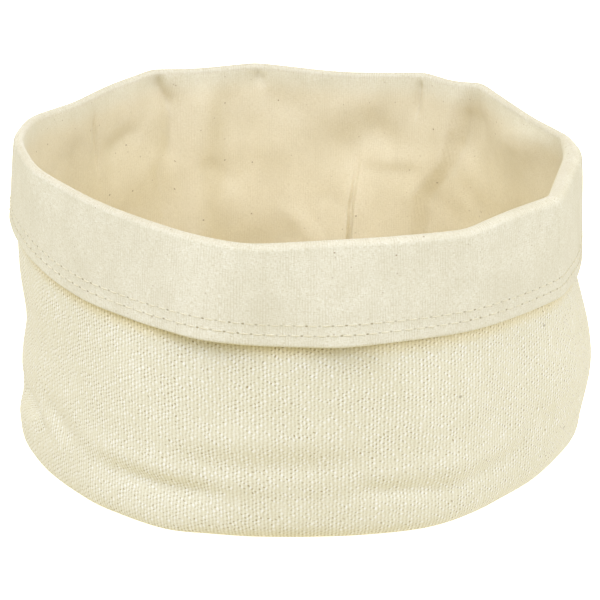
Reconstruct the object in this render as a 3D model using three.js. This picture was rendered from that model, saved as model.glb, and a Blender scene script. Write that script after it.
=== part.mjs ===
// A round bread bag of cotton cloth that stands open, with its top turned down as a cuff.
// Millimetres, +Z up. The origin is the middle of the underside, and the front faces -Y.
// Angles are degrees round +Z from +X, so right is 0, back 90, left 180 and front 270.
import * as THREE from "three";

// Cloth
const canvasThickness = 1.0;
const liningThickness = 1.0;
const pieceGap = 0.3;
const hemOverhang = 1.5; // the lining reaches this far below the canvas at the cuff's edge

// Wall
const foldFade = 12; // folds die out over this height below the turned edge
const unrolledRadius = 100; // turns an angle into a length along the wall

// Mesh
const stepsAround = 90;
const tuckSteps = 2;
const wallSteps = 12;
const wallCrowding = 1.5; // above 1 the wall's rows crowd towards the base, where the rucks are
const edgeSteps = 4;
const cuffSteps = 3;

// The wall by angle: the radius of the base's seam, how far out and how high the wall turns
// up from it, and the extra radius half way up.
const wall = [
  { at: 0, seam: 89, tuck: 9.0, rise: 10, belly: 1.2 },
  { at: 45, seam: 90, tuck: 6.0, rise: 8, belly: 2.5 },
  { at: 90, seam: 90, tuck: 5.5, rise: 8, belly: 2.0 },
  { at: 135, seam: 90.5, tuck: 6.0, rise: 8, belly: 1.5 },
  { at: 180, seam: 90.5, tuck: 7.0, rise: 8, belly: 0.6 },
  { at: 213, seam: 89, tuck: 6.5, rise: 9, belly: 1.2 },
  { at: 243, seam: 92.3, tuck: 4.5, rise: 7, belly: 2.0 },
  { at: 268, seam: 88.4, tuck: 6.5, rise: 8, belly: 2.5 },
  { at: 298, seam: 91.5, tuck: 5.0, rise: 8, belly: 2.5 },
  { at: 320, seam: 88.5, tuck: 7.0, rise: 12, belly: 2.5 },
  { at: 341, seam: 87.5, tuck: 9.0, rise: 14, belly: 1.8 },
];

// The turned edge by angle: its middle's radius, its highest point and its bend radius.
const rim = [
  { at: 0, radius: 94.5, top: 107, bend: 2.6 },
  { at: 16, radius: 96, top: 106, bend: 2.0 },
  { at: 32, radius: 94.5, top: 105.3, bend: 1.6 },
  { at: 48, radius: 98, top: 109, bend: 1.3 },
  { at: 56, radius: 97.5, top: 108.3, bend: 1.3 },
  { at: 64, radius: 97.5, top: 109, bend: 1.3 },
  { at: 80, radius: 96.5, top: 106.5, bend: 1.3 },
  { at: 104, radius: 97.5, top: 110, bend: 1.3 },
  { at: 116, radius: 97, top: 109.6, bend: 1.3 },
  { at: 124, radius: 98.5, top: 111.2, bend: 1.3 },
  { at: 134, radius: 97.5, top: 109, bend: 1.3 },
  { at: 146, radius: 96, top: 107.8, bend: 1.3 },
  { at: 164, radius: 96.8, top: 111, bend: 1.3 },
  { at: 184, radius: 95.7, top: 114.5, bend: 1.3 },
  { at: 204, radius: 96, top: 115, bend: 1.3 },
  { at: 228, radius: 96.5, top: 113.5, bend: 1.4 },
  { at: 248, radius: 97, top: 109.5, bend: 1.5 },
  { at: 260, radius: 97.5, top: 107.5, bend: 1.5 },
  { at: 288, radius: 97, top: 109, bend: 1.5 },
  { at: 304, radius: 98.5, top: 107.5, bend: 1.6 },
  { at: 318, radius: 96, top: 108.5, bend: 1.8 },
  { at: 332, radius: 98, top: 107.5, bend: 2.2 },
];

// The cuff's lower edge by angle: its height, and the clear space between it and the wall.
const hem = [
  { at: 0, height: 69, space: 0.8 },
  { at: 30, height: 70, space: 1.4 },
  { at: 60, height: 72, space: 2.2 },
  { at: 90, height: 74, space: 2.6 },
  { at: 125, height: 76, space: 2.6 },
  { at: 155, height: 79.5, space: 1.8 },
  { at: 180, height: 83.5, space: 1.0 },
  { at: 200, height: 84.5, space: 1.0 },
  { at: 216, height: 81.5, space: 1.4 },
  { at: 235, height: 78, space: 2.4 },
  { at: 250, height: 74.8, space: 3.4 },
  { at: 265, height: 73.6, space: 3.8 },
  { at: 285, height: 74, space: 3.4 },
  { at: 302, height: 73, space: 2.2 },
  { at: 318, height: 72.6, space: 1.6 },
  { at: 340, height: 70.8, space: 1.0 },
];

// Folds in the wall. Each runs through the point at that angle and height, tilted from level.
// Reach is half its length, spread half its width, and out how far it swells (or sinks if negative).
const folds = [
  { name: "swell on the right", at: 0, height: 36, tilt: 0, reach: 55, spread: 24, out: 5.6 },
  { name: "hollow on the left", at: 185, height: 50, tilt: 0, reach: 50, spread: 13, out: -2.4 },
  { name: "pinch on the left", at: 195, height: 20, tilt: 0, reach: 45, spread: 6, out: -2.4 },
  { name: "ruck at front left", at: 238, height: 16.5, tilt: 3, reach: 26, spread: 5, out: -2.2 },
  { name: "ruck at the front", at: 272, height: 17, tilt: 0, reach: 26, spread: 5, out: -1.4 },
  { name: "ruck at front right", at: 308, height: 15, tilt: 4, reach: 34, spread: 5, out: -2.0 },
  { name: "hollow at the front", at: 262, height: 33, tilt: 0, reach: 36, spread: 6, out: -1.0 },
  { name: "crease by the seam", at: 78, height: 52, tilt: 90, reach: 28, spread: 6, out: 1.8 },
  { name: "ridge beside it", at: 88, height: 60, tilt: 90, reach: 36, spread: 9, out: -1.8 },
  { name: "long fold", at: 55, height: 76, tilt: 108, reach: 38, spread: 7, out: 2.2 },
  { name: "ridge of the long fold", at: 64, height: 76, tilt: 108, reach: 38, spread: 8, out: -2.4 },
  { name: "crease at back left", at: 136, height: 82, tilt: 90, reach: 22, spread: 6, out: 1.8 },
  { name: "pocket at back left", at: 124, height: 68, tilt: 0, reach: 16, spread: 8, out: 1.8 },
  { name: "ridge at back left", at: 112, height: 66, tilt: 84, reach: 38, spread: 10, out: -2.0 },
];

const radians = THREE.MathUtils.degToRad;
const lerp = THREE.MathUtils.lerp;
const wrap = THREE.MathUtils.euclideanModulo;

// One column of a table at any angle: a smooth closed curve through its rows.
function around(rows, column, angle) {
  const count = rows.length;
  const turned = wrap(angle - rows[0].at, 360) + rows[0].at;
  const here = rows.findLastIndex((row) => row.at <= turned);
  const [before, from, to, after] = [-1, 0, 1, 2].map((step) => {
    const index = here + step;
    const lap = Math.floor(index / count);
    const row = rows[index - lap * count];
    return { at: row.at + lap * 360, value: row[column] };
  });
  const span = to.at - from.at;
  const share = (turned - from.at) / span;
  const slopeFrom = ((to.value - before.value) / (to.at - before.at)) * span;
  const slopeTo = ((after.value - from.value) / (after.at - from.at)) * span;
  const square = share * share;
  const cube = square * share;
  return (
    from.value * (2 * cube - 3 * square + 1) +
    slopeFrom * (cube - 2 * square + share) +
    to.value * (3 * square - 2 * cube) +
    slopeTo * (cube - square)
  );
}

// How far the folds push the wall out at an angle and height.
function foldsAt(angle, height) {
  let out = 0;
  for (const fold of folds) {
    const turn = wrap(angle - fold.at + 180, 360) - 180;
    const sideways = radians(turn) * unrolledRadius;
    const up = height - fold.height;
    const tilt = radians(fold.tilt);
    const along = sideways * Math.cos(tilt) + up * Math.sin(tilt);
    const across = up * Math.cos(tilt) - sideways * Math.sin(tilt);
    out += fold.out * Math.exp(-((along / fold.reach) ** 4) - (across / fold.spread) ** 2);
  }
  return out;
}

// Both cloths follow the middle of the canvas. The lining lies on its inner side.
const floorHeight = canvasThickness / 2;
const liningNear = canvasThickness / 2 + pieceGap;
const liningFar = liningNear + liningThickness;

// The half round of the turned edge: its middle's radius and height, and its bend radius.
function turnedEdge(angle) {
  const bend = around(rim, "bend", angle);
  const height = around(rim, "top", angle) - bend - liningFar;
  return { radius: around(rim, "radius", angle), height, bend };
}

function tuckTopAt(angle) {
  return floorHeight + around(wall, "rise", angle);
}

// The wall's radius before any fold.
function plainRadius(angle, height) {
  const edge = turnedEdge(angle);
  const tuckTop = tuckTopAt(angle);
  const share = (height - tuckTop) / (edge.height - tuckTop);
  const foot = around(wall, "seam", angle) + pieceGap + around(wall, "tuck", angle);
  const belly = around(wall, "belly", angle) * 4 * share * (1 - share);
  return lerp(foot, edge.radius - edge.bend, share) + belly;
}

// The folds at a height on the wall, dying out towards the turned edge.
function fadedFolds(angle, height) {
  const fade = THREE.MathUtils.clamp((turnedEdge(angle).height - height) / foldFade, 0, 1);
  return foldsAt(angle, height) * fade;
}

// The way up the wall, over the turned edge and down the cuff, as one list of stations.
function stationsAt(angle, hemDrop) {
  const edge = turnedEdge(angle);
  const tuckTop = tuckTopAt(angle);
  const stations = [];
  const seam = around(wall, "seam", angle) + pieceGap;
  const tuck = around(wall, "tuck", angle) + foldsAt(angle, tuckTop);
  for (let step = 0; step < tuckSteps; step += 1) {
    const turn = (step / tuckSteps) * (Math.PI / 2);
    stations.push([seam + tuck * Math.sin(turn), lerp(tuckTop, floorHeight, Math.cos(turn))]);
  }
  for (let step = 0; step < wallSteps; step += 1) {
    const height = lerp(tuckTop, edge.height, (step / wallSteps) ** wallCrowding);
    stations.push([plainRadius(angle, height) + fadedFolds(angle, height), height]);
  }
  for (let step = 0; step <= edgeSteps; step += 1) {
    const turn = Math.PI * (1 - step / edgeSteps);
    stations.push([edge.radius + edge.bend * Math.cos(turn), edge.height + edge.bend * Math.sin(turn)]);
  }
  const hemHeight = around(hem, "height", angle) - hemDrop;
  const hemSpace = around(hem, "space", angle) + canvasThickness;
  for (let step = 1; step <= cuffSteps; step += 1) {
    const share = step / cuffSteps;
    const height = lerp(edge.height, hemHeight, share);
    const swell = Math.max(0, fadedFolds(angle, height)); // the cuff rides over what swells out
    stations.push([plainRadius(angle, height) + swell + lerp(2 * edge.bend, hemSpace, share), height]);
  }
  return stations;
}

function pointAt(angle, radius, height) {
  return new THREE.Vector3(radius * Math.cos(radians(angle)), radius * Math.sin(radians(angle)), height);
}

function angleOf(step) {
  return (step / stepsAround) * 360;
}

// A point of the middle surface for each angle and station.
function middleSurface(hemDrop) {
  const columns = [];
  for (let step = 0; step < stepsAround; step += 1) {
    const angle = angleOf(step);
    columns.push(stationsAt(angle, hemDrop).map(([radius, height]) => pointAt(angle, radius, height)));
  }
  return columns;
}

// The direction at each point from the canvas towards the lining.
function liningDirections(columns) {
  const count = columns.length;
  return columns.map((column, i) =>
    column.map((point, j) => {
      const sideways = columns[(i + 1) % count][j].clone().sub(columns[(i + count - 1) % count][j]);
      const ahead = column[Math.min(j + 1, column.length - 1)];
      const along = ahead.clone().sub(column[Math.max(j - 1, 0)]);
      if (j === 0) along.z = 0; // the wall leaves the base level
      return along.cross(sideways).normalize();
    }),
  );
}

// A closed shell between two offsets of the middle surface.
function clothShell(columns, directions, near, far) {
  const count = columns.length;
  const length = columns[0].length;
  const positions = [];
  for (const offset of [near, far]) {
    columns.forEach((column, i) =>
      column.forEach((point, j) => {
        const moved = point.clone().addScaledVector(directions[i][j], offset);
        positions.push(moved.x, moved.y, moved.z);
      }),
    );
  }
  const nearPoint = (i, j) => (i % count) * length + j;
  const farPoint = (i, j) => count * length + nearPoint(i, j);
  const faces = [];
  const quad = (a, b, c, d) => faces.push(a, b, c, a, c, d);
  for (let i = 0; i < count; i += 1) {
    for (let j = 0; j < length - 1; j += 1) {
      quad(nearPoint(i, j), nearPoint(i + 1, j), nearPoint(i + 1, j + 1), nearPoint(i, j + 1));
      quad(farPoint(i, j), farPoint(i, j + 1), farPoint(i + 1, j + 1), farPoint(i + 1, j));
    }
    const last = length - 1;
    quad(farPoint(i, 0), farPoint(i + 1, 0), nearPoint(i + 1, 0), nearPoint(i, 0));
    quad(nearPoint(i, last), nearPoint(i + 1, last), farPoint(i + 1, last), farPoint(i, last));
  }
  const geometry = new THREE.BufferGeometry();
  geometry.setAttribute("position", new THREE.Float32BufferAttribute(positions, 3));
  geometry.setIndex(faces);
  geometry.computeVertexNormals();
  return geometry;
}

function wallCloth(hemDrop, near, far) {
  const columns = middleSurface(hemDrop);
  return clothShell(columns, liningDirections(columns), near, far);
}

// A flat panel with the outline of the base's seam.
function basePanel(bottom, thickness) {
  const outline = [];
  for (let step = 0; step < stepsAround; step += 1) {
    const angle = angleOf(step);
    const { x, y } = pointAt(angle, around(wall, "seam", angle), 0);
    outline.push(new THREE.Vector2(x, y));
  }
  const geometry = new THREE.ExtrudeGeometry(new THREE.Shape(outline), {
    depth: thickness,
    bevelEnabled: false,
  });
  return geometry.translate(0, 0, bottom);
}

const canvasMaterial = new THREE.MeshStandardMaterial({ color: 0xe6dfc2, roughness: 0.95, metalness: 0 });
const liningMaterial = new THREE.MeshStandardMaterial({ color: 0xe9e3cf, roughness: 0.9, metalness: 0 });

const bag = new THREE.Group();

function addPiece(name, geometry, material) {
  const mesh = new THREE.Mesh(geometry, material);
  mesh.name = name;
  bag.add(mesh);
}

addPiece("canvas_wall", wallCloth(0, -canvasThickness / 2, canvasThickness / 2), canvasMaterial);
addPiece("lining_wall", wallCloth(hemOverhang, liningNear, liningFar), liningMaterial);
addPiece("canvas_base", basePanel(0, canvasThickness), canvasMaterial);
addPiece("lining_base", basePanel(floorHeight + liningNear, liningThickness), liningMaterial);

export default bag;
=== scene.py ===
import bpy
import numpy as np
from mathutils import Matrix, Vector


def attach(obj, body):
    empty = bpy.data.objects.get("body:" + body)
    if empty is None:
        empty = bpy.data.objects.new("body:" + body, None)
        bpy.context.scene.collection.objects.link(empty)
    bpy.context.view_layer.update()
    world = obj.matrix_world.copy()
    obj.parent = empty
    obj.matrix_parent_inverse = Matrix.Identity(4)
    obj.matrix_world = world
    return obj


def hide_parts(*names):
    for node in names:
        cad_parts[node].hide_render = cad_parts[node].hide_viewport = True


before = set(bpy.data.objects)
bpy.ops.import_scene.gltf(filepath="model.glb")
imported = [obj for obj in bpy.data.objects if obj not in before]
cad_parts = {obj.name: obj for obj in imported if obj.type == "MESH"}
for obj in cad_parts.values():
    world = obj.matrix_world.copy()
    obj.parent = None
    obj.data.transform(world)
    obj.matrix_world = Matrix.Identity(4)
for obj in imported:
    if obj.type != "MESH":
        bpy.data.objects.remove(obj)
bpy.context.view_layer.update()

mm = 0.001  # shapes are worked out in millimetres, and meshes are in metres

# The form that both cloths share. Angles are degrees round +Z: right 0, back 90, left 180, front 270.
bagForm = {
    "canvasThick": 0.8,
    "liningThick": 0.4,
    "clothGap": 0.2,
    "foldFade": 12.0,  # wide folds die out over this height below the turned edge
    "creaseFade": 4.0,  # and sharp creases over this one
    "creaseTip": 0.25,  # share of a crease's width over which its edge is rounded
    "cornerFade": 4.0,  # power with which the rim's corners die out down the wall
    "cornerSpread": 14.0,  # degrees over which the wall below has smoothed them
    "cornerSteps": 13,  # angles averaged where a table's corners are rounded
    "cornerEnds": 0.05,  # weight of the outermost of them
    "cuffEase": 0.45,  # how softly the cuff rides over what swells out
    "cuffLeave": 0.12,  # share of the cuff over which that begins
    "unrolledRadius": 97.0,  # turns an angle into a length along the wall
    "columns": 480,
    "fineStep": 0.05,  # degrees from angle to angle where their crowding is added up
    # columns crowd round the sharp creases: angle, half width and how many times closer
    "crowding": [(47.5, 2, 3), (58, 8, 2.2), (62.4, 1.5, 2),
                 (77.8, 2.5, 5), (98.5, 3, 2), (120, 4, 3), (140, 2.5, 3)],
}

# seam is the radius of the base, tuck and rise how far out and up the wall turns from it
wallTable = {
    "names": ("at", "seam", "tuck", "rise", "belly"),
    "round": 6.0,  # degrees on either side over which a corner is rounded
    "rows": [
        (0, 89, 9.0, 10, 1.2),
        (45, 90, 6.0, 8, 2.5),
        (90, 90, 5.5, 8, 2.0),
        (135, 90.5, 6.0, 8, 1.5),
        (180, 91, 6.8, 8, 0.6),
        (213, 90.4, 4.0, 8, 1.2),
        (231, 91.6, 3.7, 7, 1.6),
        (243, 93.6, 2.4, 6, 2.0),
        (251, 90, 5.0, 7, 2.2),
        (268, 87.4, 6.5, 8, 2.5),
        (284, 88.8, 5.8, 8, 2.5),
        (299, 92, 3.4, 7, 2.5),
        (310, 90.2, 5.0, 9, 2.5),
        (320, 87.9, 6.5, 12, 2.5),
        (341, 87.5, 8.4, 14, 1.8),
    ],
}

# the turned edge: the radius of its middle, its highest point, its bend radius, and the degrees on
# either side over which its corners are rounded
rimTable = {
    "names": ("at", "radius", "top", "bend", "round"),
    "rows": [
        (0, 96.2, 107, 2.6, 5),
        (5, 96.9, 106.8, 2.2, 3),
        (13, 97.2, 106.3, 0.6, 2),
        (28, 95.5, 105.2, 0.45, 6),
        (40, 96.9, 107.2, 0.5, 6),
        (47.3, 99, 109.5, 0.45, 2),
        (54, 97.5, 108.2, 0.45, 4),
        (61.5, 98.2, 109.3, 0.45, 2),
        (80, 96.8, 106.5, 0.45, 8),
        (99, 98.2, 109.8, 0.45, 3),
        (112, 97.4, 109.6, 0.45, 5),
        (122.5, 99, 111.4, 0.45, 2),
        (134, 98, 109.6, 0.5, 5),
        (146, 96.5, 108.3, 0.6, 4),
        (164, 98.1, 111.3, 0.8, 8),
        (184, 97.5, 114.7, 0.8, 10),
        (204, 97.6, 114.8, 0.8, 10),
        (228, 97.4, 113.2, 0.9, 14),
        (248, 97.7, 109.2, 1.2, 10),
        (260, 98, 107.2, 1.5, 7),
        (288, 97.5, 108.7, 1.5, 14),
        (304, 99, 107.2, 1.6, 4),
        (318, 96.5, 108.2, 1.8, 6),
        (332, 98.8, 107.2, 2.2, 4),
    ],
}

# the cuff's lower edge: its height, and the clear space between it and the wall
hemTable = {
    "names": ("at", "height", "space"),
    "round": 8.0,
    "rows": [
        (0, 69, 2.0),
        (30, 70, 1.8),
        (60, 72, 2.6),
        (90, 74, 3.0),
        (125, 76, 3.0),
        (155, 79.5, 2.2),
        (180, 83.5, 1.5),
        (200, 83.5, 1.0),
        (216, 79.5, 1.0),
        (242, 76.5, 1.0),
        (248, 76.7, 4.2),
        (252, 76.6, 8.0),
        (258, 74.9, 3.2),
        (265, 73.6, 1.7),
        (272, 73.6, 1.6),
        (278, 74.9, 8.5),
        (285, 73.8, 1.6),
        (302, 73.2, 1.4),
        (318, 72, 1.2),
        (340, 70.6, 1.6),
    ],
}

# Wide folds. Columns: the middle's angle and height, tilt from level, half length, half width on the
# lower side and on the upper side, and push outwards. On an upright fold at the back the lower side is
# the left one as seen from the front
foldTable = [
    (0, 33.5, 0, 55, 24, 24, 5.8),  # swell on the right
    (185, 50, 0, 50, 13, 13, -2.4),  # hollow on the left
    (190, 20.2, 9, 18, 2.2, 5.6, -3.2),  # pinch on the left
    (184, 10.5, 4, 20, 5, 4.4, 1.1),  # bulge below the pinch
    (211, 26, -24, 12, 4.0, 5.0, -1.7),  # trough in front of the pinch
    (239, 17.6, -2, 31, 6.0, 3.2, -1.4),  # ruck at front left
    (237, 24.4, -3, 27, 3.4, 4.4, 0.75),  # lip over that ruck
    (262, 37.2, 2, 27, 4.4, 5.6, 0.75),  # roll above the level trough
    (265, 28, 1, 28, 4.2, 3.8, -0.95),  # level trough at the front
    (270, 16.5, 0, 22, 3.6, 3.6, -0.25),  # shallow middle of the ruck
    (293, 16.8, -7, 17, 3.0, 2.8, -1.2),  # ruck at front right, first half
    (312.5, 17, 9, 19, 3.2, 2.8, -1.1),  # and second half
    (296, 23.2, -2, 24, 3.4, 4.4, 0.65),  # lip over that ruck
    (315, 23.4, 9, 15, 3.4, 4.4, 0.55),  # and its end
    (324, 27, 62, 8, 3.0, 3.0, -0.9),  # where the ruck turns up
    (334, 26, 6, 14, 5.0, 5.0, -1.0),  # soft trough on the right
    (75.3, 79.8, -42, 12, 10.0, 9.0, 2.7),  # hollow under the back rim
    (79, 94.5, -25, 20, 8.0, 7.0, -1.1),  # roll above that hollow
    (68.6, 73.4, -6, 12, 2.2, 5.5, -1.2),  # and below it
    (47.5, 99, 0, 8, 7.0, 7.0, -1.8),  # fullness below the second corner
    (51.6, 91, 104, 17, 3.4, 15.0, 5.6),  # long fold, upper part
    (57.4, 66.5, 124, 10, 4.0, 14.0, 3.4),  # middle part
    (61.2, 44, 96, 15, 4.0, 16.0, 4.0),  # lower part
    (99.5, 33, 0, 15, 12, 12, 4.8),  # deep hollow at the back
    (88.6, 45.5, 50, 10, 3.0, 3.4, -1.5),  # ridge at its edge
    (81.5, 56, 30, 6, 4.0, 4.0, 0.7),  # hollow left of the seam
    (111.8, 72, 91, 40, 5.0, 7.0, -2.8),  # upright ridge at back left
    (106, 88, 88, 20, 5.0, 9.0, 1.6),  # hollow right of it
    (107.6, 68.4, 41, 9, 7.0, 3.2, 1.5),  # slanting trough beside it
    (100.5, 77, 10, 11, 6.0, 6.0, -1.0),  # swelling at the back
    (94.6, 97, 40, 15, 6.0, 6.0, 1.0),  # slanting hollow under the back rim
    (118.4, 89, 92, 14, 4.0, 3.0, 2.0),  # upright hollow at back left
    (128, 70, -22, 12, 12.0, 7.5, -1.8),  # bright ridge at back left
    (131.6, 87, -22, 9, 5.0, 4.2, 1.7),  # hollow over it
    (120.5, 55, 84, 13, 5.0, 4.0, 1.2),  # hollow below the dimple
    (131, 60, -8, 10, 3.0, 2.4, 0.3),  # thin trough under the ridge
    (147.5, 78, 90, 15, 12.0, 5.0, 3.4),  # hollow left of the upright crease
    (16, 88, 84, 24, 13.0, 12.0, 2.2),  # hollow at the right end
    (31, 97, -17, 22, 9.0, 9.0, -2.6),  # ridge that slants down from the rim there
]

# sharp creases, in the same columns, where the two sides meet in an edge
creaseTable = [
    (120.6, 105, 66, 9, 3.6, 1.2, 3.0),  # from the rim's corner at back left
    (98.8, 106.5, 55, 5, 2.6, 1.2, 1.9),  # from the middle of the back rim
    (62.5, 100.5, 97, 10, 1.4, 1.4, 2.2),  # from the first corner at back right
    (47.6, 101, 93, 13, 3.2, 3.0, 0.5),  # from the second corner
    (55.4, 90, 105, 15, 5.0, 2.2, -1.4),  # crest of the long fold, upper part
    (55.7, 80.5, 100, 7, 0.8, 3.0, 1.6),  # narrow valley beside it
    (60.8, 68.5, 124, 12, 5.0, 2.2, -1.6),  # crest, middle part
    (64.4, 48, 96, 16, 5.0, 2.2, -1.6),  # crest, lower part
    (27, 99.0, -17, 17, 7.0, 4.0, -1.3),  # crest of the ridge at the right end
    (139.6, 89, 81, 12, 2.0, 1.2, 1.8),  # upright crease at back left
    (122.3, 69.8, 75, 5, 2.6, 1.4, 0.8),  # dimple
    (242, 17.4, -3, 17, 5.0, 1.6, -1.1),  # line of the ruck at front left
    (188, 20.2, 9, 14, 1.6, 3.0, -1.2),  # line of the pinch on the left
    (199, 22.2, -17, 14, 4.0, 1.2, -1.7),  # where it runs on towards the front
]

# the lining's own seam: it stands off the canvas on both sides of a narrow groove
seamTable = [
    (79.5, 30, 95, 36, 9.0, 0.8, -4.0),
    (78.0, 30, 95, 36, 0.8, 11.0, -4.2),
]

# slow waves that keep the cloth uneven: turns round, radians per millimetre up, phase and size
waveTable = [
    (7, 0.055, 0.4, 0.22),
    (11, -0.041, 2.1, 0.20),
    (17, 0.083, 4.4, 0.14),
    (23, -0.105, 1.3, 0.12),
    (31, 0.150, 5.2, 0.08),
]


def cornersAt(table, name, angle):
    # straight chords from row to row seen from the axis: a b sin(span) over a sin(from a) + b sin(to b)
    values = np.array(table["rows"] + [table["rows"][0]], float)
    at, wanted = values[:, 0], values[:, table["names"].index(name)]
    at[-1] += 360
    angle = angle % 360
    row = np.searchsorted(at, angle, side="right") - 1
    first, last = np.radians(at[row]), np.radians(at[row + 1])
    a, b = wanted[row], wanted[row + 1]
    turn = np.radians(angle)
    return a * b * np.sin(last - first) / (a * np.sin(turn - first) + b * np.sin(last - turn))


def linesAt(table, name, angle):
    # straight lines between the rows
    values = np.array(table["rows"], float)
    return np.interp(angle, values[:, 0], values[:, table["names"].index(name)], period=360)


def tableAt(table, name, angle, method=linesAt, wide=None):
    # a column of a table, its corners rounded by an average over nearby angles, the nearest weighing most
    steps = np.linspace(-1, 1, bagForm["cornerSteps"])
    span = wide or (linesAt(table, "round", angle) if "round" in table["names"] else table["round"])
    nearby = [method(table, name, angle + span * step) for step in steps]
    return np.average(nearby, axis=0, weights=1 + bagForm["cornerEnds"] - np.abs(steps))


def bell(share):
    # e to the minus share squared
    return np.exp(-(share**2))


def sharpEdge(share):
    # a peak that falls away as e to the minus share, its tip a little rounded
    tip = bagForm["creaseTip"]
    return np.exp(tip - np.hypot(share, tip))


def pushOut(rows, angle, height, fall):
    # along its line each fold is a bell of the square, which has a flat top, and across it a bell or a
    # sharp edge that fades over its own width on either side. The folds add up
    out = 0.0
    for at, middle, tilt, reach, lower, upper, push in rows:
        side = np.radians((angle - at + 180) % 360 - 180) * bagForm["unrolledRadius"]
        up = height - middle
        turn = np.radians(tilt)
        along = side * np.cos(turn) + up * np.sin(turn)
        across = up * np.cos(turn) - side * np.sin(turn)
        width = np.where(across < 0, lower, upper)
        out = out + push * bell((along / reach) ** 2) * fall(across / width)
    return out


def waves(angle, height):
    # a sum of sines, each with its own turns round the bag and slant up it
    return sum(size * np.sin(turns * np.radians(angle) + rise * height + phase)
               for turns, rise, phase, size in waveTable)


def mix(a, b, share):
    # a straight line from a at share 0 to b at share 1
    return a + (b - a) * share


def ringPoints(angle, radius, height):
    # cylinder coordinates to x, y, z
    turn = np.radians(angle) + 0 * radius
    return np.stack([radius * np.cos(turn), radius * np.sin(turn), height + 0 * radius], axis=-1)


# from the canvas's middle to the lining's middle
liningOffset = bagForm["canvasThick"] / 2 + bagForm["clothGap"] + bagForm["liningThick"] / 2
liningFar = liningOffset + bagForm["liningThick"] / 2
floorHeight = bagForm["canvasThick"] / 2


def turnedEdge(angle):
    # middle radius, middle height and bend radius of the half round at the top
    bend = tableAt(rimTable, "bend", angle)
    height = tableAt(rimTable, "top", angle) - bend - liningFar
    return tableAt(rimTable, "radius", angle, cornersAt), height, bend


def plainRadius(angle, height):
    # a straight lean from the top of the tuck to the turned edge, plus a parabola for the belly.
    # The rim's corners come in towards the top, by a power of the height
    edgeRadius, edgeHeight, bend = turnedEdge(angle)
    smoothRadius = tableAt(rimTable, "radius", angle, cornersAt, bagForm["cornerSpread"])
    tuckTop = floorHeight + tableAt(wallTable, "rise", angle)
    share = (height - tuckTop) / (edgeHeight - tuckTop)
    foot = tableAt(wallTable, "seam", angle) + bagForm["clothGap"] + tableAt(wallTable, "tuck", angle)
    belly = tableAt(wallTable, "belly", angle) * 4 * share * (1 - share)
    corners = (edgeRadius - smoothRadius) * np.clip(share, 0, 1) ** bagForm["cornerFade"]
    return mix(foot, smoothRadius - bend, share) + belly + corners


def wideFolds(angle, height):
    # the wide folds and slow waves, dying out below the turned edge
    below = np.clip((turnedEdge(angle)[1] - height) / bagForm["foldFade"], 0, 1)
    return (pushOut(foldTable, angle, height, bell) + waves(angle, height)) * below


def foldsOn(angle, height):
    # the same with the sharp creases, which reach closer to the turned edge
    below = np.clip((turnedEdge(angle)[1] - height) / bagForm["creaseFade"], 0, 1)
    return wideFolds(angle, height) + pushOut(creaseTable, angle, height, sharpEdge) * below


def cuffPoints(angle, share):
    # the cuff leaves the turned edge at share 0, rides over what swells out and reaches the hem at 1.
    # Half of a fold plus its length with the ease as the other side of a right angle keeps hollows flat
    edgeHeight, bend = turnedEdge(angle)[1:]
    height = mix(edgeHeight, tableAt(hemTable, "height", angle), share)
    folds = foldsOn(angle, height)
    ease = bagForm["cuffEase"]
    swell = (folds + np.hypot(folds, ease) - ease * bell(share / bagForm["cuffLeave"])) / 2
    space = mix(2 * bend, tableAt(hemTable, "space", angle) + bagForm["canvasThick"], share)
    return ringPoints(angle, plainRadius(angle, height) + swell + space, height)


def columnAngles():
    # the share of columns up to an angle grows evenly, plus a bell at each crowded place
    fine = np.arange(0, 360, bagForm["fineStep"])
    crowd = 1 + sum(more * bell((fine - at) / wide) for at, wide, more in bagForm["crowding"])
    share = np.append(0, np.cumsum(crowd)) / crowd.sum()
    return np.interp(np.arange(bagForm["columns"]) / bagForm["columns"], share, np.append(fine, 360))


angles = columnAngles()


def middleSurface(angle, rows, folds=foldsOn):
    # up the tuck as a quarter ellipse, up the wall, over the edge as a half round and down the cuff
    tuckRows, wallRows, edgeRows, cuffRows = rows
    edgeRadius, edgeHeight, bend = turnedEdge(angle)
    seam = tableAt(wallTable, "seam", angle) + bagForm["clothGap"]
    tuckTop = floorHeight + tableAt(wallTable, "rise", angle)
    tuckOut = tableAt(wallTable, "tuck", angle) + folds(angle, tuckTop)
    turn = np.linspace(0, np.pi / 2, tuckRows, endpoint=False)
    tuck = ringPoints(angle, seam + tuckOut * np.sin(turn), mix(tuckTop, floorHeight, np.cos(turn)))
    height = mix(tuckTop, edgeHeight, np.linspace(0, 1, wallRows, endpoint=False))
    wall = ringPoints(angle, plainRadius(angle, height) + folds(angle, height), height)
    turn = np.linspace(np.pi, 0, edgeRows + 1)
    turned = ringPoints(angle, edgeRadius + bend * np.cos(turn), edgeHeight + bend * np.sin(turn))
    cuff = cuffPoints(angle, (1 - np.cos(np.linspace(0, np.pi, cuffRows + 1)[1:])) / 2)
    return np.concatenate([tuck, wall, turned, cuff], axis=1)


def liningSide(points):
    # unit normals towards the lining: the way along the profile crossed with the way round
    around = np.roll(points, -1, axis=0) - np.roll(points, 1, axis=0)
    along = np.gradient(points, axis=1)
    along[:, 0, 2] = 0  # the wall leaves the base level
    normal = np.cross(along, around)
    return normal / np.linalg.norm(normal, axis=-1, keepdims=True)


def offsetWay(rows):
    # towards the lining from the surface without its sharp creases, where offset cloths would cross
    return liningSide(middleSurface(angles[:, None], rows, wideFolds))


def runLength(points):
    # length along the profile from its first row
    steps = np.linalg.norm(np.diff(points, axis=1), axis=-1)
    return np.concatenate([np.zeros((len(points), 1)), np.cumsum(steps, axis=1)], axis=1)


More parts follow.
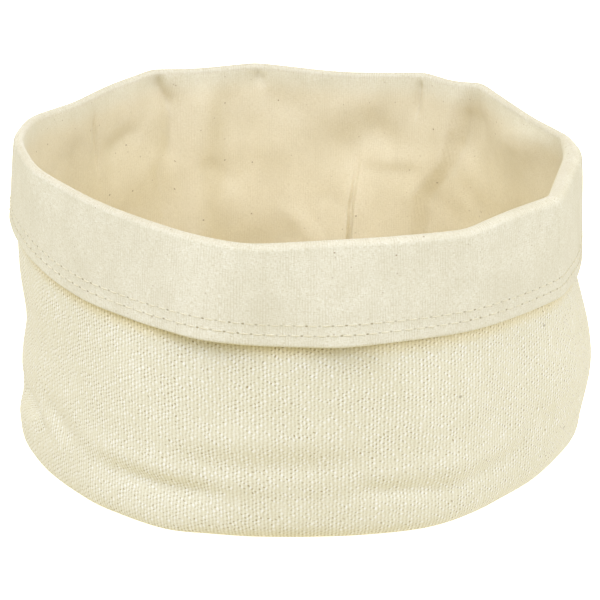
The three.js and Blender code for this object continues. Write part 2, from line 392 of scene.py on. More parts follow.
def clothMesh(name, far, near, uv, closedRound, shelter):
    # two matching grids of points joined into one closed cloth, with quads along every open edge.
    # shelter is how far a point lies inside the bag, or up under the cuff; the materials place painted
    # shade and light by it
    n, m = far.shape[:2]
    spans = n if closedRound else n - 1
    i, j = (a.ravel() for a in np.meshgrid(np.arange(spans), np.arange(m - 1), indexing="ij"))
    rounds, rows = np.arange(spans), np.arange(m - 1)
    first, last, over = 0 * rounds, 0 * rounds + m - 1, n * m
    # each entry: grid rows, grid columns and which of the two grids, for the four corners
    quads = [
        ((i, i, i + 1, i + 1), (j, j + 1, j + 1, j), (0, 0, 0, 0)),
        ((i, i + 1, i + 1, i), (j, j, j + 1, j + 1), (1, 1, 1, 1)),
        ((rounds, rounds + 1, rounds + 1, rounds), (first, first, first, first), (0, 0, 1, 1)),
        ((rounds, rounds, rounds + 1, rounds + 1), (last, last, last, last), (0, 1, 1, 0)),
    ]
    if not closedRound:
        start, end = 0 * rows, 0 * rows + n - 1
        quads += [
            ((start, start, start, start), (rows, rows, rows + 1, rows + 1), (0, 1, 1, 0)),
            ((end, end, end, end), (rows, rows + 1, rows + 1, rows), (0, 0, 1, 1)),
        ]
    faces, corners = [], []
    for across, down, side in quads:
        places = zip(across, down, side)
        faces.append(np.stack([(a % n) * m + d + s * over for a, d, s in places], axis=1))
        corners.append(np.stack([a * m + d for a, d in zip(across, down)], axis=1))
    points = np.concatenate([far.reshape(-1, 3), near.reshape(-1, 3)]) * mm
    mesh = bpy.data.meshes.new(name)
    mesh.from_pydata(points.tolist(), [], np.concatenate(faces).tolist())
    layer = mesh.uv_layers.new(name="cloth")
    layer.data.foreach_set("uv", uv.reshape(-1, 2)[np.concatenate(corners).ravel()].ravel())
    sheltered = mesh.attributes.new("shelter", "FLOAT", "POINT")
    sheltered.data.foreach_set("value", np.tile((shelter + np.zeros((n, m))).ravel(), 2))
    mesh.polygons.foreach_set("use_smooth", np.ones(len(mesh.polygons), bool))
    mesh.update()
    return placeObject(name, mesh)


def placeObject(name, mesh):
    # a piece at the origin, with its place in its mesh
    piece = bpy.data.objects.new(name, mesh)
    bpy.context.scene.collection.objects.link(piece)
    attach(piece, "root")
    return piece


def clothUv(angles, acrossScale, lengths, lengthScale):
    # u runs once round and v along the profile, with the first column repeated at the end
    around = np.append(angles, 360.0) / 360 * acrossScale
    down = np.concatenate([lengths, lengths[:1]]) * lengthScale
    return np.stack([around[:, None] + 0 * down, down], axis=-1)


def nodeTree(name):
    material = bpy.data.materials.new(name)
    material.use_nodes = True
    tree = material.node_tree
    return material, tree, tree.nodes["Principled BSDF"]


def addNode(tree, kind, inputs=None, **settings):
    # a node with its settings and its inputs, where an input is a number, a colour or a socket
    node = tree.nodes.new(kind)
    for key, value in settings.items():
        setattr(node, key, value)
    for key, value in (inputs or {}).items():
        if isinstance(value, bpy.types.NodeSocket):
            tree.links.new(value, node.inputs[key])
        else:
            node.inputs[key].default_value = value
    return node


def calc(tree, operation, *values):
    return addNode(tree, "ShaderNodeMath", dict(enumerate(values)), operation=operation).outputs[0]


def blend(tree, share, first, second, kind="MIX"):
    inputs = {"Factor": share, 6: first, 7: second}
    return addNode(tree, "ShaderNodeMix", inputs, data_type="RGBA", blend_type=kind).outputs[2]


def ramp(tree, value, low, high, start=0.0, end=1.0):
    # a soft step from start, where the value is low, to end, where it is high
    inputs = {"Value": value, "From Min": low, "From Max": high, "To Min": start, "To Max": end}
    return addNode(tree, "ShaderNodeMapRange", inputs, interpolation_type="SMOOTHSTEP").outputs[0]


def clothCoordinates(tree):
    # the cloth's own u and v, as numbers and as a vector
    uv = addNode(tree, "ShaderNodeUVMap", uv_map="cloth").outputs[0]
    parts = addNode(tree, "ShaderNodeSeparateXYZ", {0: uv}).outputs
    return parts[0], parts[1], uv


def shelterHere(tree):
    # what clothMesh wrote for the point
    return addNode(tree, "ShaderNodeAttribute", attribute_name="shelter").outputs["Fac"]


def noise(tree, vector, stretch, detail=2.0):
    inputs = {"Vector": vector, "Scale": stretch}
    moved = addNode(tree, "ShaderNodeMapping", inputs).outputs[0]
    inputs = {"Vector": moved, "Scale": 1.0, "Detail": detail}
    return addNode(tree, "ShaderNodeTexNoise", inputs).outputs[0]


def swing(tree, kind, value, rate):
    # the sine or cosine of a coordinate times its rate in radians
    return calc(tree, kind, calc(tree, "MULTIPLY", value, rate))


def addFlecks(tree, uv, color, cloth):
    # a soft round spot in the cells of a Voronoi pattern whose own chance is high enough
    for cells, inner, outer, never, always, strength in cloth["flecks"]:
        inputs = {"Vector": uv, "Scale": cells}
        fleck = addNode(tree, "ShaderNodeTexVoronoi", inputs, feature="F1", voronoi_dimensions="2D")
        chance = addNode(tree, "ShaderNodeSeparateColor", {0: fleck.outputs["Color"]}).outputs[0]
        spot = ramp(tree, fleck.outputs["Distance"], inner, outer, strength, 0.0)
        spot = calc(tree, "MULTIPLY", spot, ramp(tree, chance, never, always))
        color = blend(tree, spot, color, cloth["fleckColor"])
    return color


def finishSurface(tree, shader, color, height, finish):
    # colour and relief from the nodes, and what is the same all over set on the shader
    tree.links.new(color, shader.inputs["Base Color"])
    relief = {"Height": height, "Strength": finish["reliefStrength"], "Distance": finish["reliefDepth"]}
    tree.links.new(addNode(tree, "ShaderNodeBump", relief).outputs[0], shader.inputs["Normal"])
    shader.inputs["Roughness"].default_value = finish["roughness"]
    shader.inputs["Sheen Weight"].default_value = finish["sheen"]
    shader.inputs["Specular IOR Level"].default_value = finish["specular"]


canvasCloth = {
    "rows": (8, 60, 7, 14),  # mesh rows on the tuck, the wall, the turned edge and the cuff
    "ribsRound": 466,  # paired warp threads
    "rowsPerMm": 1 / 0.76,
    # how ribs and rows stray: the stretch of a noise over ribs and rows, and its size
    "ribDrift": [((0.05, 0.02, 1), 0.9), ((0.5, 0.35, 1), 1.0)],
    "rowDrift": [((0.02, 0.05, 1), 2.5), ((0.45, 0.35, 1), 2.6)],
    "ribFullness": (0.6, 0.5),  # of the thinnest crossing, and how much more the thickest has
    "ribCrown": 0.6,  # power of the rib's round, flatter the less it is
    "ribUnder": 0.5,  # height of a rib where it passes under
    "weftHeight": 0.5,
    "weftColor": (0.80, 0.787, 0.64, 1),
    "warpColor": (0.908, 0.914, 0.84, 1),
    "warpFrom": (0.3, 0.9),  # heights over which the colour goes from weft to warp; darker low in the weave, partly the weft's own colour and partly painted shade
    "beadHighlight": (0.98, 0.99, 0.96, 1),  # painted highlight where a rib stands highest
    "beadHighlightFrom": (0.75, 1.05),
    "gapColor": (0.27, 0.19, 0.04, 1),
    "gapShade": (0.12, 0.72),  # between two ribs, and what a pinhole adds
    "gapReach": (0.08, 0.42),  # in ribs, from the middle of the gap
    "pinholeFrom": 0.35,  # sine of its place between two rows
    "pinholePower": 0.8,  # of its chance, so that more are open the less it is
    "looseStretch": (0.09, 0.12, 1),  # patches of looser weave, where more pinholes show
    "looseFrom": (0.35, 0.65),
    "tightShare": 0.5,  # of the pinholes elsewhere
    "slubStretch": (0.9, 0.06, 1),  # thick places along a rib
    "slubFrom": (0.55, 0.8),
    "slubShare": 0.5,
    "fleckColor": (0.16, 0.11, 0.05, 1),
    # cells to a rib, inner and outer radius in cells, chances of none and of a full one, strength
    "flecks": [(0.025, 0.008, 0.02, 0.6, 0.62, 0.5)],
    "roughness": 0.9,
    "sheen": 0.25,
    "specular": 0.3,
    "reliefStrength": 1.0,
    "reliefDepth": 0.00012,
    "underCuffShadeTint": (1.0, 0.92, 0.72, 1),  # painted shade: warmer and darker under the cuff and just below its hem, where its shadow falls
    "underCuffShadeFrom": (-8.0, -1.0),  # millimetres from the hem's height
    "baseShelter": -100.0,  # what the base panel counts as
}


def crossingChance(tree, across, along):
    # a number of its own for every crossing
    cell = addNode(tree, "ShaderNodeCombineXYZ", {0: across, 1: calc(tree, "FLOOR", along)}).outputs[0]
    return addNode(tree, "ShaderNodeTexWhiteNoise", {0: cell}, noise_dimensions="2D").outputs[0]


def wander(tree, value, uv, drifts):
    # a thread's coordinate moved to and fro by one noise after another
    for stretch, size in drifts:
        drift = calc(tree, "SUBTRACT", noise(tree, uv, stretch), 0.5)
        value = calc(tree, "MULTIPLY_ADD", drift, size, value)
    return value


def canvasRelief(tree, u, v):
    # plain weave: round ribs that pass over one row and under the next, a row apart from their neighbours
    rib = calc(tree, "FLOOR", u)
    ribRound = swing(tree, "SINE", calc(tree, "SUBTRACT", u, rib), np.pi)
    step = calc(tree, "ADD", v, rib)
    over = calc(tree, "MULTIPLY_ADD", swing(tree, "COSINE", step, np.pi), 0.5, 0.5)
    # every crossing is a little thicker or thinner than the next
    chance = crossingChance(tree, rib, calc(tree, "MULTIPLY_ADD", step, 0.5, 0.5))
    thinnest, more = canvasCloth["ribFullness"]
    full = calc(tree, "MULTIPLY_ADD", chance, more, thinnest)
    lowest = canvasCloth["ribUnder"]
    ribTop = calc(tree, "MULTIPLY", calc(tree, "MULTIPLY_ADD", over, 1 - lowest, lowest), full)
    ribHeight = calc(tree, "MULTIPLY", calc(tree, "POWER", ribRound, canvasCloth["ribCrown"]), ribTop)
    weftRound = calc(tree, "ABSOLUTE", swing(tree, "COSINE", v, np.pi))
    shows = calc(tree, "MULTIPLY", weftRound, calc(tree, "SUBTRACT", 1.0, over))
    return calc(tree, "MAXIMUM", ribHeight, calc(tree, "MULTIPLY", shows, canvasCloth["weftHeight"]))


def gapShade(tree, u, v, uv):
    # it is darker between two ribs, most of all where a pinhole shows: at every second row, if it is open
    gap = calc(tree, "FLOOR", calc(tree, "ADD", u, 0.5))
    gapStep = calc(tree, "ADD", v, gap)
    notch = ramp(tree, swing(tree, "SINE", gapStep, np.pi), canvasCloth["pinholeFrom"], 1.0)
    slack = crossingChance(tree, gap, calc(tree, "MULTIPLY", gapStep, 0.5))
    slack = calc(tree, "POWER", slack, canvasCloth["pinholePower"])
    patches = noise(tree, uv, canvasCloth["looseStretch"])
    loose = ramp(tree, patches, *canvasCloth["looseFrom"], canvasCloth["tightShare"], 1.0)
    pinhole = calc(tree, "MULTIPLY", calc(tree, "MULTIPLY", notch, slack), loose)
    everywhere, added = canvasCloth["gapShade"]
    fromGap = calc(tree, "ABSOLUTE", calc(tree, "SUBTRACT", u, gap))
    near = ramp(tree, fromGap, *canvasCloth["gapReach"], 1.0, 0.0)
    return calc(tree, "MULTIPLY", calc(tree, "MULTIPLY_ADD", pinhole, added, everywhere), near)


def canvasMaterial():
    # from the weft in the hollows, partly painted shade, to a painted highlight on the warp's beads, with
    # painted shade in the gaps, pale slubs, a few flecks and painted shade under the cuff
    material, tree, shader = nodeTree("canvasWeave")
    u, v, uv = clothCoordinates(tree)
    u = wander(tree, u, uv, canvasCloth["ribDrift"])
    v = wander(tree, v, uv, canvasCloth["rowDrift"])
    height = canvasRelief(tree, u, v)
    # darker low in the weave: partly the weft's own colour, partly painted shade
    warp = ramp(tree, height, *canvasCloth["warpFrom"])
    color = blend(tree, warp, canvasCloth["weftColor"], canvasCloth["warpColor"])
    # painted highlight on the tops of the ribs
    color = blend(tree, ramp(tree, height, *canvasCloth["beadHighlightFrom"]), color, canvasCloth["beadHighlight"])
    color = blend(tree, gapShade(tree, u, v, uv), color, canvasCloth["gapColor"])
    slub = noise(tree, uv, canvasCloth["slubStretch"])
    slub = ramp(tree, slub, *canvasCloth["slubFrom"], 0.0, canvasCloth["slubShare"])
    color = blend(tree, slub, color, canvasCloth["warpColor"])
    color = addFlecks(tree, uv, color, canvasCloth)
    # painted shade: the canvas under the cuff and just below its hem turns warmer and darker
    underCuffShade = ramp(tree, shelterHere(tree), *canvasCloth["underCuffShadeFrom"])
    color = blend(tree, underCuffShade, color, canvasCloth["underCuffShadeTint"], "MULTIPLY")
    finishSurface(tree, shader, color, height, canvasCloth)
    return material


liningCloth = {
    "rows": (8, 60, 13, 14),
    "lengthRound": 610.0,  # millimetres once round
    "threadsPerMm": 2.1,
    "color": (0.80, 0.787, 0.675, 1),
    "threadColor": (0.893, 0.896, 0.816, 1),
    "hollowColor": (0.668, 0.639, 0.504, 1),
    "slubStretches": [(2.6, 0.8, 1), (0.8, 2.6, 1)],  # thick places in the warp and in the weft
    "slubDetail": 3.0,
    "brightFrom": (1.0, 1.3),  # the two noises' sum where the cloth is thick
    "darkFrom": (0.7, 1.0),  # and where it is thin
    "darkShare": 0.9,
    "insideSlubs": 0.5,  # share of them that shows on the inside
    "smoothFrom": (-3.5, 8.5),  # millimetres past the turned edge over which they grow faint
    "combsPerMm": 1.1,
    "combFrom": (-0.2, 1.0),  # sine across a comb's teeth
    "combShare": 0.55,
    "combStretch": (0.25, 0.12, 1),  # patches in which it shows
    "combPatch": (0.42, 0.6),
    "cloudStretch": (0.06, 0.05, 1),  # faint uneven tone
    "cloudDetail": 4.0,
    "cloudFrom": (0.35, 0.7),
    "cloudShare": 0.3,
    "fleckColor": (0.26, 0.16, 0.06, 1),
    # cells to a millimetre, inner and outer radius in cells, chances of none and of a full one, strength
    "flecks": [(0.10, 0.02, 0.04, 0.84, 0.94, 0.6), (0.2, 0.035, 0.07, 0.88, 0.98, 0.35)],
    "roughness": 0.9,
    "sheen": 0.2,
    "specular": 0.2,
    "reliefStrength": 1.0,
    "reliefDepth": 0.00008,
    "reliefShares": (0.35, 1.2),  # of the weave and of the slubs
    "edgeShadeTint": (0.915, 0.91, 0.935, 1),  # painted shade along the turned edge, dimming its highlight
    "edgeShadeReach": (0.4, 3.2),  # millimetres from the turned edge over which that fades
    "insideWarmShade": (1.005, 0.955, 0.885, 1),  # painted shade: warmer and a little darker on the inside, standing in for light bounced between the cloths
    "insideWarmShadeFrom": (2.5, 12.5),
    "deepPaintedLight": (1.06, 1.045, 1.0, 1),  # painted light: a little lighter further down inside the bag
    "deepPaintedLightFrom": (8.0, 48.0),
    "baseShelter": 100.0,  # what the base panel counts as
    "hemTurn": 2.3,  # radians that the lining turns under the canvas at the hem
    "hemRows": 8,
}

stitching = {
    "rowsAboveHem": (4.0, 7.4),
    "stitches": 150,
    "phases": (0.0, 0.37),
    "share": 0.82,  # of the pitch that shows as thread
    "threadRadius": 0.22,
    "endRadius": 0.35,  # share of it where a stitch goes into its hole
    "swellPower": 0.5,  # how soon the thread is full
    "lift": 0.22,
    "liftPower": 0.6,  # how soon it has come up
    "alongPoints": 9,
    "roundPoints": 8,
    "sink": 0.22,  # how far the cloth is drawn in along a row
    "sinkWidth": 1.0,
    "color": (0.755, 0.725, 0.58, 1),
    "twists": 5.0,  # turns of the two strands in a stitch
    "valleyFrom": (-1.0, 0.3),  # sine across the strands
    "valleyShade": 0.35,
    "holeShade": (0.27, 0.22, 0.10, 1),
    "holePitch": 2.6,  # what a pitch counts as beside a millimetre up, so that a hole is oblong
    "holeReach": (0.15, 0.42),
    "holeShare": 0.75,
    "holeChance": (-0.5, 0.8),
    "roughness": 0.7,
    "sheen": 0.2,
    "specular": 0.5,
    "reliefStrength": 0.6,
    "reliefDepth": 0.00006,
}


def needleHoles(tree, u, v, row, phase, color):
    # painted shade in one oblong needle hole between two stitches, some more open than others
    turn = calc(tree, "MULTIPLY", u, stitching["stitches"] / liningCloth["lengthRound"])
    along = calc(tree, "ADD", turn, 0.5 - phase)
    middle = 0.5 * stitching["share"]
    fromHole = calc(tree, "SUBTRACT", calc(tree, "FRACT", along), middle)
    sideways = calc(tree, "MULTIPLY", fromHole, stitching["holePitch"])
    upDown = calc(tree, "SUBTRACT", v, row)
    squares = calc(tree, "MULTIPLY_ADD", sideways, sideways, calc(tree, "MULTIPLY", upDown, upDown))
    number = {"W": calc(tree, "FLOOR", along)}
    chance = addNode(tree, "ShaderNodeTexWhiteNoise", number, noise_dimensions="1D").outputs[0]
    near = ramp(tree, calc(tree, "SQRT", squares), *stitching["holeReach"], stitching["holeShare"], 0.0)
    hole = calc(tree, "MULTIPLY", near, ramp(tree, chance, *stitching["holeChance"]))
    return blend(tree, hole, color, stitching["holeShade"])


def liningTone(tree, u, uv, slub, depth):
    # lighter where the cloth is thick and darker where it is thin, with combs and clouds, painted shade
    # along the turned edge and inside the bag, and painted light further down
    shown = ramp(tree, depth, *liningCloth["smoothFrom"], 1.0, liningCloth["insideSlubs"])
    bright = ramp(tree, slub, *liningCloth["brightFrom"])
    dark = ramp(tree, slub, *liningCloth["darkFrom"], liningCloth["darkShare"], 0.0)
    color = liningCloth["color"]
    color = blend(tree, calc(tree, "MULTIPLY", bright, shown), color, liningCloth["threadColor"])
    color = blend(tree, calc(tree, "MULTIPLY", dark, shown), color, liningCloth["hollowColor"])
    # here and there the warp shows as a fine comb
    comb = swing(tree, "SINE", u, liningCloth["combsPerMm"] * 2 * np.pi)
    comb = ramp(tree, comb, *liningCloth["combFrom"], 0.0, liningCloth["combShare"])
    patch = ramp(tree, noise(tree, uv, liningCloth["combStretch"]), *liningCloth["combPatch"])
    comb = calc(tree, "MULTIPLY", comb, calc(tree, "MULTIPLY", patch, shown))
    color = blend(tree, comb, color, liningCloth["hollowColor"])
    cloud = noise(tree, uv, liningCloth["cloudStretch"], liningCloth["cloudDetail"])
    cloud = ramp(tree, cloud, *liningCloth["cloudFrom"], 0.0, liningCloth["cloudShare"])
    color = blend(tree, cloud, color, liningCloth["hollowColor"])
    # painted shade along the turned edge, dimming the highlight there
    edgeShade = ramp(tree, calc(tree, "ABSOLUTE", depth), *liningCloth["edgeShadeReach"], 1.0, 0.0)
    color = blend(tree, edgeShade, color, liningCloth["edgeShadeTint"], "MULTIPLY")
    # painted shade: warmer and a little darker inside the bag
    insideShade = ramp(tree, depth, *liningCloth["insideWarmShadeFrom"])
    color = blend(tree, insideShade, color, liningCloth["insideWarmShade"], "MULTIPLY")
    # painted light: the lining turns a little lighter further down inside the bag
    deep = ramp(tree, depth, *liningCloth["deepPaintedLightFrom"])
    return blend(tree, deep, color, liningCloth["deepPaintedLight"], "MULTIPLY")


def liningMaterial(name, stitched):
    # fine plain weave with uneven threads, scattered flecks and, on the cuff, needle holes in painted
    # shade
    material, tree, shader = nodeTree(name)
    u, v, uv = clothCoordinates(tree)
    stretches, detail = liningCloth["slubStretches"], liningCloth["slubDetail"]
    slub = calc(tree, "ADD", *(noise(tree, uv, stretch, detail) for stretch in stretches))
    color = liningTone(tree, u, uv, slub, shelterHere(tree))
    color = addFlecks(tree, uv, color, liningCloth)
    if stitched:
        for row, phase in zip(stitching["rowsAboveHem"], stitching["phases"]):
            color = needleHoles(tree, u, v, row, phase, color)
    pitch = liningCloth["threadsPerMm"] * 2 * np.pi
    weave = calc(tree, "MULTIPLY", swing(tree, "SINE", u, pitch), swing(tree, "SINE", v, pitch))
    weaveShare, slubShare = liningCloth["reliefShares"]
    weave = calc(tree, "MULTIPLY", weave, weaveShare)
    height = calc(tree, "MULTIPLY_ADD", slub, slubShare, weave)
    finishSurface(tree, shader, color, height, liningCloth)
    return material


def dressCloth(piece, material, node):
    # gives the piece its material and hides the solid that it stands for
    piece.data.materials.append(material)
    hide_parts(node)


def makeCanvasWall():
    # half the thickness to either side of the middle surface
    middle = middleSurface(angles[:, None], canvasCloth["rows"])
    half = bagForm["canvasThick"] / 2 * offsetWay(canvasCloth["rows"])
    uv = clothUv(angles, canvasCloth["ribsRound"], runLength(middle), canvasCloth["rowsPerMm"])
    aboveHem = middle[..., 2] - tableAt(hemTable, "height", angles[:, None])
    piece = clothMesh("canvasWall", middle + half, middle - half, uv, True, aboveHem)
    dressCloth(piece, canvas, "canvas_wall")
    return piece


canvas = canvasMaterial()
canvasWall = makeCanvasWall()
print("canvas wall made")


def liningMiddle():
    # beside the canvas all the way, then an arc under the canvas edge at the hem
    middle = middleSurface(angles[:, None], liningCloth["rows"])
    towardsLining = offsetWay(liningCloth["rows"])
    clear = liningOffset + 0 * middle[..., :1]
    inside = slice(liningCloth["rows"][0], sum(liningCloth["rows"][:2]))  # the rows on the wall
    clear[:, inside, 0] -= pushOut(seamTable, angles[:, None], middle[:, inside, 2], sharpEdge)
    beside = middle + clear * towardsLining
    turn = np.linspace(0, liningCloth["hemTurn"], liningCloth["hemRows"] + 1)[None, 1:, None]
    down = middle[:, -1:] - middle[:, -2:-1]
    down = down / np.linalg.norm(down, axis=-1, keepdims=True)
    arc = liningOffset * (np.cos(turn) * towardsLining[:, -1:] + np.sin(turn) * down)
    path = np.concatenate([beside, middle[:, -1:] + arc], axis=1)
    return path, np.concatenate([towardsLining, liningSide(path)[:, middle.shape[1]:]], axis=1)


def makeLiningWall():
    # half the thickness to either side of its middle, with the outer face drawn in by a bell at each
    # stitched row
    path, normal = liningMiddle()
    lengths = runLength(path)
    hemLength = lengths[:, -1 - liningCloth["hemRows"], None] + liningOffset  # to the hem's lowest point
    fromHem = hemLength - lengths
    uv = clothUv(angles, liningCloth["lengthRound"], fromHem, 1.0)
    drawn = sum(bell((fromHem - row) / stitching["sinkWidth"]) for row in stitching["rowsAboveHem"])
    half = bagForm["liningThick"] / 2
    farSide = path + (half - stitching["sink"] * drawn)[..., None] * normal
    edgeRow = sum(liningCloth["rows"][:2]) + liningCloth["rows"][2] // 2  # the middle of the turned edge
    inwards = lengths[:, edgeRow, None] - lengths
    piece = clothMesh("liningWall", farSide, path - half * normal, uv, True, inwards)
    dressCloth(piece, liningMaterial("liningCuffWeave", True), "lining_wall")
    return piece


liningWall = makeLiningWall()
print("lining wall made")


def threadMaterial():
    # two strands twisted together: slanting stripes along each stitch, with painted shade in the valleys
    # between the strands
    material, tree, shader = nodeTree("stitchThread")
    u, v = clothCoordinates(tree)[:2]
    slant = swing(tree, "SINE", calc(tree, "MULTIPLY_ADD", u, stitching["twists"], v), 2 * np.pi)
    # painted shade in the valleys between the two strands
    valley = ramp(tree, slant, *stitching["valleyFrom"], stitching["valleyShade"], 0.0)
    color = blend(tree, valley, stitching["color"], liningCloth["hollowColor"])
    finishSurface(tree, shader, color, slant, stitching)
    return material


def cuffFace(angle, up):
    # a point of the cuff's outer face that far up from the hem, its outward normal and the way round
    turn, slide, lastPart = 0.05, 0.01, 0.1  # degrees, and shares of the cuff, from point to point
    hemEnd, above = cuffPoints(angle, 1.0), cuffPoints(angle, 1.0 - lastPart)
    share = 1 - (up - liningOffset) * lastPart / np.linalg.norm(hemEnd - above, axis=-1)
    point = cuffPoints(angle, share)
    around = cuffPoints(angle + turn, share) - cuffPoints(angle - turn, share)
    down = cuffPoints(angle, share + slide) - cuffPoints(angle, share - slide)
    normal = np.cross(down, around)
    normal /= np.linalg.norm(normal, axis=-1, keepdims=True)
    return point + (liningFar - stitching["sink"]) * normal, normal, around


def stitchRows():
    # each stitch is a tube on a low arch: it rises from one needle hole and sinks into the next
    pitch = 360 / stitching["stitches"]
    share = np.linspace(0, 1, stitching["alongPoints"])
    turn = np.linspace(0, 2 * np.pi, stitching["roundPoints"], endpoint=False)
    points = []
    for row, phase in zip(stitching["rowsAboveHem"], stitching["phases"]):
        start = (np.arange(stitching["stitches"]) + phase) * pitch
        angle = start[:, None] + share * pitch * stitching["share"]
        point, normal, around = cuffFace(angle, row + 0 * angle)
        along = around / np.linalg.norm(around, axis=-1, keepdims=True)
        side = np.cross(normal, along)
        arch = np.sin(np.pi * share)[:, None]
        centre = point + normal * (stitching["lift"] * (2 * arch ** stitching["liftPower"] - 1))
        full = mix(stitching["endRadius"], 1, arch ** stitching["swellPower"])
        thick = stitching["threadRadius"] * full
        ring = np.cos(turn)[:, None] * normal[:, :, None] + np.sin(turn)[:, None] * side[:, :, None]
        points.append(centre[:, :, None] + thick[None, :, None] * ring)
    return np.concatenate(points)


def stitchMesh(points):
    # tubes closed at both ends, with u along each stitch and v round it
    count, along, sides = points.shape[:3]
    grid = np.meshgrid(np.arange(count), np.arange(along - 1), np.arange(sides), indexing="ij")
    s, a, r = (x.ravel() for x in grid)

    def at(a, r):
        return (s * along + a) * sides + r % sides

    quads = np.stack([at(a, r), at(a, r + 1), at(a + 1, r + 1), at(a + 1, r)], axis=1)
    uv = np.stack([np.stack([x / (along - 1), y / sides], axis=-1)
                   for x, y in ((a, r), (a, r + 1), (a + 1, r + 1), (a + 1, r))], axis=1)
    starts = np.arange(count)[:, None] * along * sides + np.arange(sides)
    caps = np.concatenate([starts[:, ::-1], starts + (along - 1) * sides])
    mesh = bpy.data.meshes.new("cuffStitching")
    mesh.from_pydata((points.reshape(-1, 3) * mm).tolist(), [], quads.tolist() + caps.tolist())
    layer = mesh.uv_layers.new(name="cloth")
    layer.data.foreach_set("uv", np.concatenate([uv.ravel(), np.zeros(caps.size * 2)]))
    mesh.polygons.foreach_set("use_smooth", np.ones(len(mesh.polygons), bool))
    mesh.update()
    return placeObject("cuffStitching", mesh)


stitches = stitchMesh(stitchRows())
stitches.data.materials.append(threadMaterial())
print("stitching made")

basePanels = {
    "gridSize": 64,
    "waveHeight": 0.5,  # soft waves in the lining where it lies on the canvas
    # x and y of each wave's middle, half width and share of the height
    "waves": [(20, -35, 14, 1.0), (-38, 12, 18, 0.8), (10, 45, 16, 0.9), (52, 22, 12, 0.6)],
}


def basePanel(name, node, material, bottom, thick, waveHeight, uvScale, shelter):
    # a square grid rounded to a disc, so that it has no pole, scaled to the seam's radius. Its upper face
    # is lifted by a sum of round bells
    line = np.linspace(-1, 1, basePanels["gridSize"])
    x, y = np.meshgrid(line, line, indexing="ij")
    discX, discY = x * np.sqrt(1 - y**2 / 2), y * np.sqrt(1 - x**2 / 2)
    radius = tableAt(wallTable, "seam", np.degrees(np.arctan2(discY, discX)) % 360)
    discX, discY = discX * radius, discY * radius
    lift = sum(size * bell(np.hypot(discX - cx, discY - cy) / width)
               for cx, cy, width, size in basePanels["waves"])
    low = np.stack([discX, discY, 0 * x + bottom], axis=-1)
    high = np.stack([discX, discY, bottom + thick + waveHeight * lift], axis=-1)
    uv = np.stack([discX, discY], axis=-1) * uvScale
    piece = clothMesh(name, low, high, uv, False, shelter)
    dressCloth(piece, material, node)
    return piece


canvasBase = basePanel(
    "canvasBase", "canvas_base", canvas,
    bottom=0.0,
    thick=bagForm["canvasThick"],
    waveHeight=0.0,
    uvScale=np.array([canvasCloth["ribsRound"] / liningCloth["lengthRound"], canvasCloth["rowsPerMm"]]),
    shelter=canvasCloth["baseShelter"],
)
liningBase = basePanel(
    "liningBase", "lining_base", liningMaterial("liningBaseWeave", False),
    bottom=bagForm["canvasThick"] + bagForm["clothGap"],
    thick=bagForm["liningThick"],
    waveHeight=basePanels["waveHeight"],
    uvScale=1.0,
    shelter=liningCloth["baseShelter"],
)
print("base panels made")

studio = {
    "floorSize": 6.0,  # metres, as in the rest of this table
    "floorDrop": 0.0002,  # below the bag, so that the two don't share a plane
    "floorColor": (0.93, 0.93, 0.92, 1),
    "floorRoughness": 0.9,
    "glowColor": (1, 1, 1, 1),
    "floorGlow": 0.8,
    "skyColor": (1.0, 0.875, 0.50, 1),
    "skyAbove": 0.83,
    "skyLow": 0.26,  # just below the horizon
    "skyUnder": 2.0,  # straight down, as from a pale floor
    "underColor": (1.0, 0.905, 0.64, 1),
    "underFrom": (-1.0, -0.5),  # how far down a direction points
    "horizon": (-0.25, 0.25),
    "lampColor": (0.93, 1.015, 1.36),
    "lampsFace": (0, 0, 0.05),
    "lights": [  # name, place, size and power
        ("keyLight", (-0.85, -1.15, 1.6), 1.0, 15.1),
        ("fillLight", (0.77, -1.65, 1.05), 1.0, 11.9),
        ("rightLight", (2.05, 0.0, 0.14), 1.0, 16.0),
        ("leftLight", (-2.05, 0.0, 0.14), 1.0, 11.5),
        ("backLight", (0.0, 2.05, 0.14), 1.0, 24.0),
    ],
}


def makeFloor():
    # a pale square that glows a little
    mesh = bpy.data.meshes.new("floor")
    half = studio["floorSize"] / 2
    square = ((-1, -1), (1, -1), (1, 1), (-1, 1))
    mesh.from_pydata([(x * half, y * half, -studio["floorDrop"]) for x, y in square], [], [(0, 1, 2, 3)])
    floor = bpy.data.objects.new("floor", mesh)
    bpy.context.scene.collection.objects.link(floor)
    material, shader = nodeTree("paleFloor")[::2]
    shader.inputs["Base Color"].default_value = studio["floorColor"]
    shader.inputs["Roughness"].default_value = studio["floorRoughness"]
    shader.inputs["Emission Color"].default_value = studio["glowColor"]
    shader.inputs["Emission Strength"].default_value = studio["floorGlow"]
    mesh.materials.append(material)
    floor.visible_diffuse = False  # the floor shows, and throws no light up at the bag


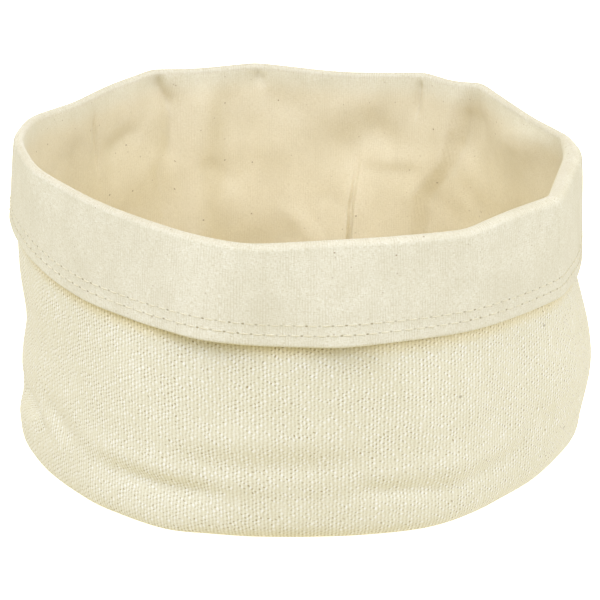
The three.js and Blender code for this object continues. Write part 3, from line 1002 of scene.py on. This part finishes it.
def makeSky():
    # dimmest just below the horizon, bright above it and brightest straight down
    world = bpy.data.worlds.new("studioSky")
    world.use_nodes = True
    tree = world.node_tree
    background = tree.nodes["Background"]
    direction = addNode(tree, "ShaderNodeTexCoord").outputs["Generated"]
    up = addNode(tree, "ShaderNodeSeparateXYZ", {0: direction}).outputs[2]
    under = ramp(tree, up, *studio["underFrom"], 1.0, 0.0)
    above = ramp(tree, up, *studio["horizon"], studio["skyLow"], studio["skyAbove"])
    more = studio["skyUnder"] - studio["skyLow"]
    strength = calc(tree, "MULTIPLY_ADD", under, more, above)
    color = blend(tree, under, studio["skyColor"], studio["underColor"])
    tree.links.new(strength, background.inputs["Strength"])
    tree.links.new(color, background.inputs["Color"])
    bpy.context.scene.world = world


def makeLights():
    # soft square lights that face the bag
    for name, place, size, power in studio["lights"]:
        light = bpy.data.lights.new(name, "AREA")
        light.size = size
        light.energy = power
        light.color = studio["lampColor"]
        lamp = bpy.data.objects.new(name, light)
        lamp.location = place
        lamp.rotation_mode = "QUATERNION"
        lamp.rotation_quaternion = (Vector(studio["lampsFace"]) - Vector(place)).to_track_quat("-Z", "Y")
        lamp.visible_camera = False
        bpy.context.scene.collection.objects.link(lamp)


viewpoint = {
    "target": (1.0, 0.0, 52.0),  # millimetres
    "distance": 1400.0,
    "elevation": 20.5,  # degrees
    "focalPixels": 3960.0,  # focal length in pixels of a picture this wide
    "imagePixels": 600.0,
    "sensor": 36.0,
}


def makeCamera():
    # on a sphere round the target, straight in front and above
    data = bpy.data.cameras.new("camera")
    data.sensor_width = viewpoint["sensor"]
    data.lens = viewpoint["sensor"] * viewpoint["focalPixels"] / viewpoint["imagePixels"]
    camera = bpy.data.objects.new("camera", data)
    rise = np.radians(viewpoint["elevation"])
    back = Vector((0, -np.cos(rise), np.sin(rise)))
    camera.location = (Vector(viewpoint["target"]) + back * viewpoint["distance"]) * mm
    camera.rotation_mode = "QUATERNION"
    camera.rotation_quaternion = (-back).to_track_quat("-Z", "Y")
    bpy.context.scene.collection.objects.link(camera)
    bpy.context.scene.camera = camera


makeFloor()
makeSky()
makeLights()
makeCamera()
bpy.context.scene.view_settings.view_transform = "Standard"
print("studio and camera made")
